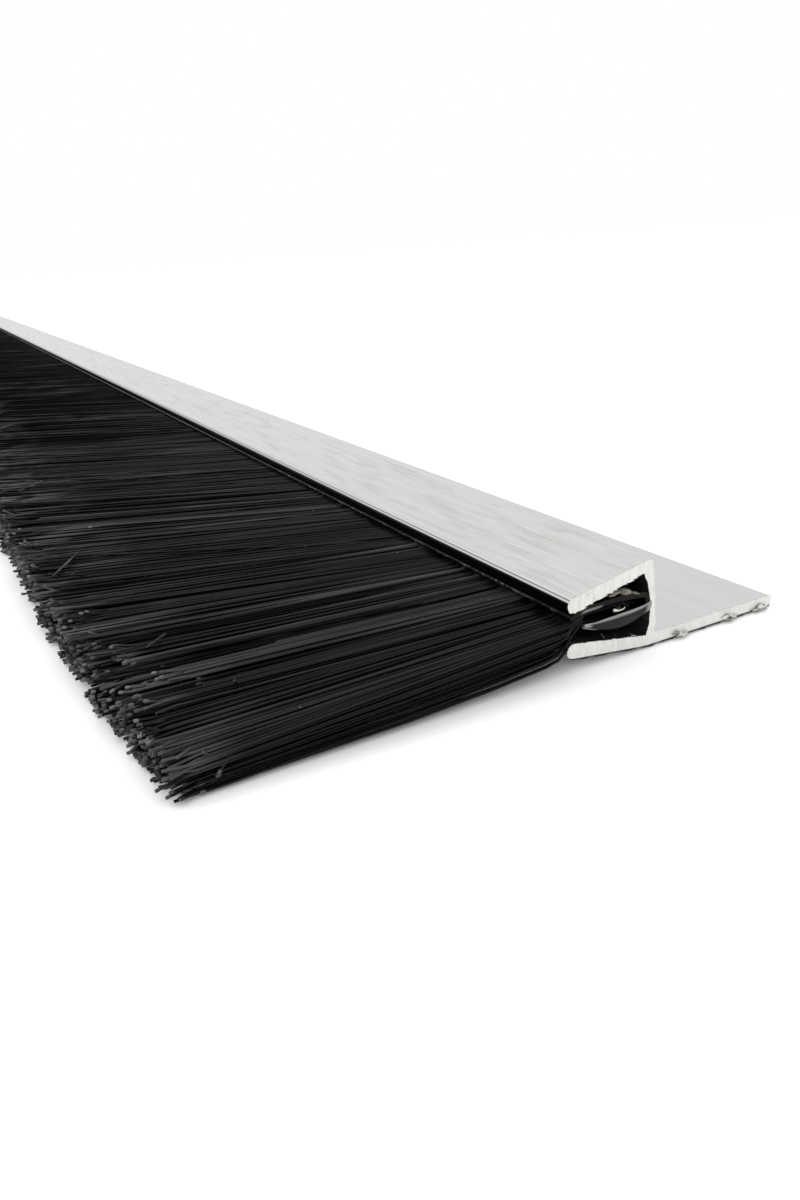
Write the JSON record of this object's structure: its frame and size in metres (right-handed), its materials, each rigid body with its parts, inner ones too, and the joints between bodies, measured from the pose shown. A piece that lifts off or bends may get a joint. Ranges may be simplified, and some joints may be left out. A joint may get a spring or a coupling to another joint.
{
  "type": "door bottom brush",
  "caption": "Aluminium door bottom brush strip: a flat slotted flange and a two-lipped clamp hold a steel-backed strip brush of dark filaments.",
  "frame": {"origin": "on the flat back face, at mid-length, below the outer face of the web at its foot", "axes": "+X along the strip towards the sawn end, +Y across it towards the flange's rear edge, with the brush towards -Y, +Z out of the back face"},
  "size_m": [0.9162, 0.0648, 0.0084],
  "materials": {
    "mill_aluminium": "mill finish with fine lines along the extrusion, bright sawn ends",
    "folded_steel_strip": "rolled strip, dull grey",
    "drawn_steel_wire": "drawn wire, bright where cut",
    "black_filament": "extruded black filament, faintly glossy"
  },
  "bodies": {
    "root": {"aluminium_holder": "mill_aluminium", "brush_channel": "folded_steel_strip", "core_wire": "drawn_steel_wire", "brush_filaments": "black_filament"}
  },
  "joints": []
}
